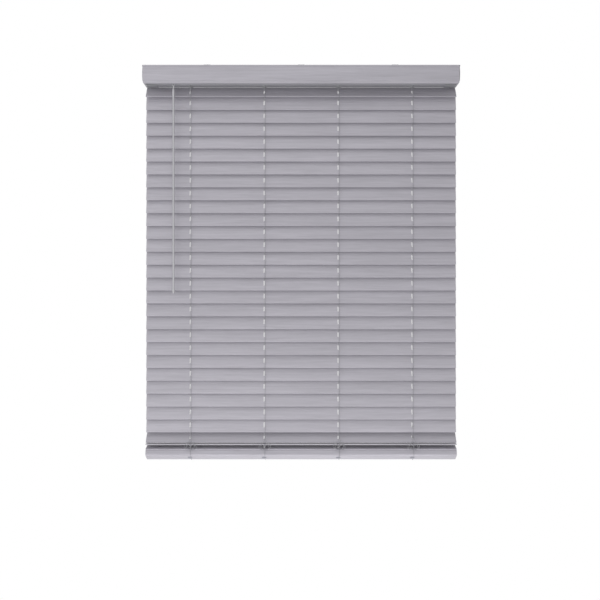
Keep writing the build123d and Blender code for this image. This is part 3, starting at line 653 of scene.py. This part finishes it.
class BLIND_OT_lift_cords(bpy.types.Operator):
    """Adds the lift cords through the routing holes"""

    bl_idname = "blind.lift_cords"
    bl_label = "Add lift cords"

    def execute(self, context):
        radius = settings()[1].lift_radius
        low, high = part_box("lift_cords")
        axis_y = slat_matrix(SLAT_NODES[1]).translation.y
        runs = []
        drops = []
        for x in LADDER_PLACES:
            run_z = high.z - (radius if abs(x) > LADDER_SPACING else INNER_RUN_DROP)
            start = -MOTOR_SPOOL if x < 0 else MOTOR_SPOOL
            bend = (x, axis_y, run_z - LIFT_BEND)
            runs.append([(start, axis_y, run_z), (x, axis_y, run_z), bend])
            drops.append([bend, (x, axis_y, low.z)])
        add_piece("lift_cord_runs", tubes("lift_cord_runs", runs, radius), "root", "lift_cord")
        mesh = tubes("lift_cord_drops", drops, radius, 2)
        piece = add_piece("lift_cord_drops", mesh, "root", "lift_cord", "lift_cords")
        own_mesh(piece)
        return {"FINISHED"}


# Bottom rail, valance and headrail

WELD_DISTANCE = 0.00001
SHARP_ANGLE = 32


def rail_size():
    """The width and height of the bottom rail's section."""
    mesh = frame["nodes"]["bottom_rail"].data
    inverse = slat_matrix("bottom_rail").inverted()
    places = [inverse @ vertex.co for vertex in mesh.vertices]
    width = max(p.y for p in places) - min(p.y for p in places)
    return width, max(p.z for p in places) - min(p.z for p in places)


def dress(node, slot):
    """Gives a solid its finish, with smooth rounds and sharp edges."""
    piece = frame["nodes"][node]
    mesh = piece.data
    mesh.polygons.foreach_set("use_smooth", [True] * len(mesh.polygons))
    mesh.materials.clear()
    mesh.materials.append(finish_of(slot))
    weld = piece.modifiers.new("weld", "WELD")
    weld.merge_threshold = WELD_DISTANCE
    split = piece.modifiers.new("split", "EDGE_SPLIT")
    split.split_angle = radians(SHARP_ANGLE)
    split.use_edge_sharp = False


class BLIND_OT_bottom_rail(bpy.types.Operator):
    """Finishes the bottom rail and its plugs"""

    bl_idname = "blind.bottom_rail"
    bl_label = "Finish bottom rail"

    def execute(self, context):
        dress("bottom_rail", "rail")
        dress("rail_plugs", "plug")
        return {"FINISHED"}


class BLIND_OT_valance(bpy.types.Operator):
    """Finishes the valance, its returns and its clips"""

    bl_idname = "blind.valance"
    bl_label = "Finish valance"

    def execute(self, context):
        dress("valance_board", "valance")
        dress("valance_returns", "valance")
        dress("valance_clips", "clear_plastic")
        return {"FINISHED"}


class BLIND_OT_headrail(bpy.types.Operator):
    """Finishes the headrail, its brackets and what they hold"""

    bl_idname = "blind.headrail"
    bl_label = "Finish headrail"

    def execute(self, context):
        slots = {entry["node"]: entry["material_slot"] for entry in frame["record"]["subparts"]}
        for node in (
            "headrail",
            "headrail_end_caps",
            "mounting_brackets",
            "bracket_covers",
            "ladder_cradles",
            "ladder_drums",
            "tilt_rod",
            "tilter_gear",
            "tilter_worm",
            "tilter_housing",
            "spring_motor",
        ):
            dress(node, slots[node])
        return {"FINISHED"}


# Wand


class BLIND_OT_wand(bpy.types.Operator):
    """Finishes the wand and the wire link that it hangs from"""

    bl_idname = "blind.wand"
    bl_label = "Finish wand"

    def execute(self, context):
        dress("wand", "wand")
        dress("wand_hook", "hook")
        return {"FINISHED"}


# Studio


class BLIND_OT_studio(bpy.types.Operator):
    """Adds the floor, the soft lights, the pale surroundings and the camera"""

    bl_idname = "blind.studio"
    bl_label = "Add studio"

    def execute(self, context):
        studio = settings()[2]
        self.add_floor(cad_box[0][2] - studio.floor_drop)
        self.add_lights(studio.key_power)
        self.add_world(studio.ambient)
        self.add_camera()
        context.scene.view_settings.view_transform = "Standard"
        return {"FINISHED"}

    def add_floor(self, height):
        """A plain pale floor under the blind."""
        left, right, front, back = -2.5, 2.5, -3.0, 0.5
        corners = [(left, front, height), (right, front, height), (right, back, height), (left, back, height)]
        floor = bpy.data.objects.new("floor", mesh_of("floor", corners, [(0, 1, 2, 3)]))
        bpy.context.scene.collection.objects.link(floor)
        floor.data.materials.append(plain("pale_floor", (0.9, 0.9, 0.89), 0.7, 0.02))

    def add_lights(self, power):
        """Large soft lamps: name, place, what it faces, width, height and power."""
        middle = Vector((0, 0, -0.6))
        head = Vector((0, 0, -0.2))
        foot = Vector((0, 0, -1.26))
        for name, place, target, width, height, watts in (
            ("key", Vector((-2.7, -3.0, 0.3)), middle, 3.0, 2.4, power),
            ("fill", Vector((-0.5, -3.4, -1.35)), foot, 3.0, 0.9, power * 0.82),
            ("ceiling", Vector((-0.6, -1.6, 2.2)), head, 2.4, 1.6, power * 0.5),
            ("sill", Vector((0, -0.24, -1.62)), foot, 1.6, 0.25, power * 0.08),
        ):
            light = bpy.data.lights.new(name, "AREA")
            light.shape = "RECTANGLE"
            light.size = width
            light.size_y = height
            light.energy = watts
            lamp = bpy.data.objects.new(name, light)
            lamp.location = place
            lamp.rotation_euler = (target - place).to_track_quat("-Z", "Y").to_euler()
            lamp.visible_camera = False
            bpy.context.scene.collection.objects.link(lamp)

    def add_world(self, strength):
        """Soft light from all around, which the camera, metal and clear plastic see as plain white."""
        world = bpy.data.worlds.new("surroundings")
        world.use_nodes = True
        bpy.context.scene.world = world
        around = NodeTree(world.node_tree, "Background")
        camera = around.node("ShaderNodeLightPath", "Is Camera Ray")
        clear = around.node("ShaderNodeLightPath", "Is Transmission Ray")
        gloss = around.node("ShaderNodeLightPath", "Is Glossy Ray")
        seen = (camera + clear + gloss).clamp()
        around.set(Color=WHITE, Strength=strength + seen * (1.0 - strength))

    def add_camera(self):
        """A level camera where the photograph was taken from."""
        camera = bpy.data.cameras.new("camera")
        camera.sensor_fit = "HORIZONTAL"
        camera.angle = 2 * atan(PHOTO_PIXELS / 2 / FOCAL_PIXELS)
        camera.clip_end = 50
        holder = bpy.data.objects.new("camera", camera)
        holder.location = CAMERA_PLACE
        holder.rotation_euler = (pi / 2, 0, 0)
        bpy.context.scene.collection.objects.link(holder)
        bpy.context.scene.camera = holder


OPERATORS = (
    BLIND_OT_slats,
    BLIND_OT_rungs,
    BLIND_OT_ladders,
    BLIND_OT_lift_cords,
    BLIND_OT_bottom_rail,
    BLIND_OT_valance,
    BLIND_OT_headrail,
    BLIND_OT_wand,
    BLIND_OT_studio,
)


class BLIND_PT_panel(bpy.types.Panel):
    """The blind's settings and steps, in the sidebar"""

    bl_idname = "BLIND_PT_panel"
    bl_label = "Faux wood blind"
    bl_space_type = "VIEW_3D"
    bl_region_type = "UI"
    bl_category = "Blind"

    def draw(self, context):
        for group in settings():
            box = self.layout.box()
            for name in type(group).__annotations__:
                box.prop(group, name)
        for operator in OPERATORS:
            self.layout.operator(operator.bl_idname)


GROUPS = {"blind_foil": FoilSettings, "blind_cords": CordSettings, "blind_studio": StudioSettings}


def register():
    """Registers the settings, the steps and the panel."""
    for name, group in GROUPS.items():
        bpy.utils.register_class(group)
        setattr(bpy.types.Scene, name, bpy.props.PointerProperty(type=group))
    for operator in OPERATORS:
        bpy.utils.register_class(operator)
    bpy.utils.register_class(BLIND_PT_panel)


def unregister():
    """Takes them away again."""
    bpy.utils.unregister_class(BLIND_PT_panel)
    for operator in reversed(OPERATORS):
        bpy.utils.unregister_class(operator)
    for name, group in GROUPS.items():
        delattr(bpy.types.Scene, name)
        bpy.utils.unregister_class(group)


def main():
    """Makes the whole scene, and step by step."""
    register()
    bpy.ops.blind.slats()
    bpy.ops.blind.rungs()
    bpy.ops.blind.ladders()
    bpy.ops.blind.lift_cords()
    bpy.ops.blind.bottom_rail()
    bpy.ops.blind.valance()
    bpy.ops.blind.headrail()
    bpy.ops.blind.wand()
    bpy.ops.blind.studio()


if __name__ == "__main__":
    main()
